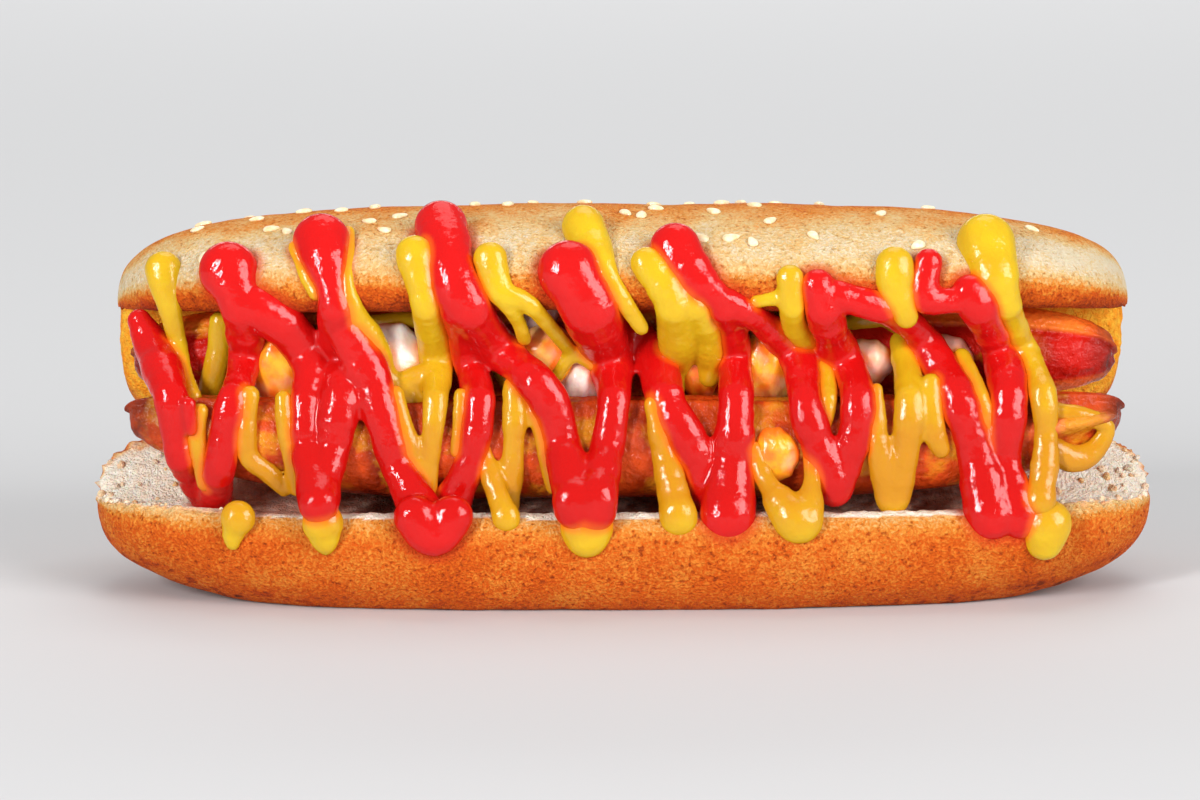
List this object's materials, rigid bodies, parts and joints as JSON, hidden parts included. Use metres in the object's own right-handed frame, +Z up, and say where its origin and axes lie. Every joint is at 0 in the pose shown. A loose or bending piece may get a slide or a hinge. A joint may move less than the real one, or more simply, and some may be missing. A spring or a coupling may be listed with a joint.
{
  "type": "hot dog",
  "caption": "Hot dog in a sesame bun slit along its front, with two sausage halves, onion petals, and zigzags of ketchup and mustard.",
  "frame": {"origin": "the middle of the object's footprint, on the surface that it stands on", "axes": "+X along the bun, to the right as seen from its open side; +Y away from the open side; +Z up"},
  "size_m": [0.208, 0.0686, 0.0776],
  "materials": {
    "bun": "baked golden-brown crust over pale crumb, soft and matte",
    "sausage": "grilled orange-red skin with a greasy sheen",
    "onion": "moist white onion, glazed by the sauces",
    "ketchup": "thick, glossy and wet",
    "mustard": "thick, glossy and wet"
  },
  "bodies": {
    "root": {"bun": "bun", "ketchup": "ketchup", "mustard_1": "mustard", "mustard_10": "mustard", "mustard_11": "mustard", "mustard_12": "mustard", "mustard_13": "mustard", "mustard_14": "mustard", "mustard_15": "mustard", "mustard_2": "mustard", "mustard_3": "mustard", "mustard_4": "mustard", "mustard_5": "mustard", "mustard_6": "mustard", "mustard_7": "mustard", "mustard_8": "mustard", "mustard_9": "mustard", "mustard_drip_1": "mustard", "mustard_drip_2": "mustard", "mustard_drip_3": "mustard", "onion_1": "onion", "onion_10": "onion", "onion_2": "onion", "onion_3": "onion", "onion_4": "onion", "onion_5": "onion", "onion_6": "onion", "onion_7": "onion", "onion_8": "onion", "onion_9": "onion", "sausage_lower": "sausage", "sausage_upper": "sausage"}
  },
  "joints": []
}
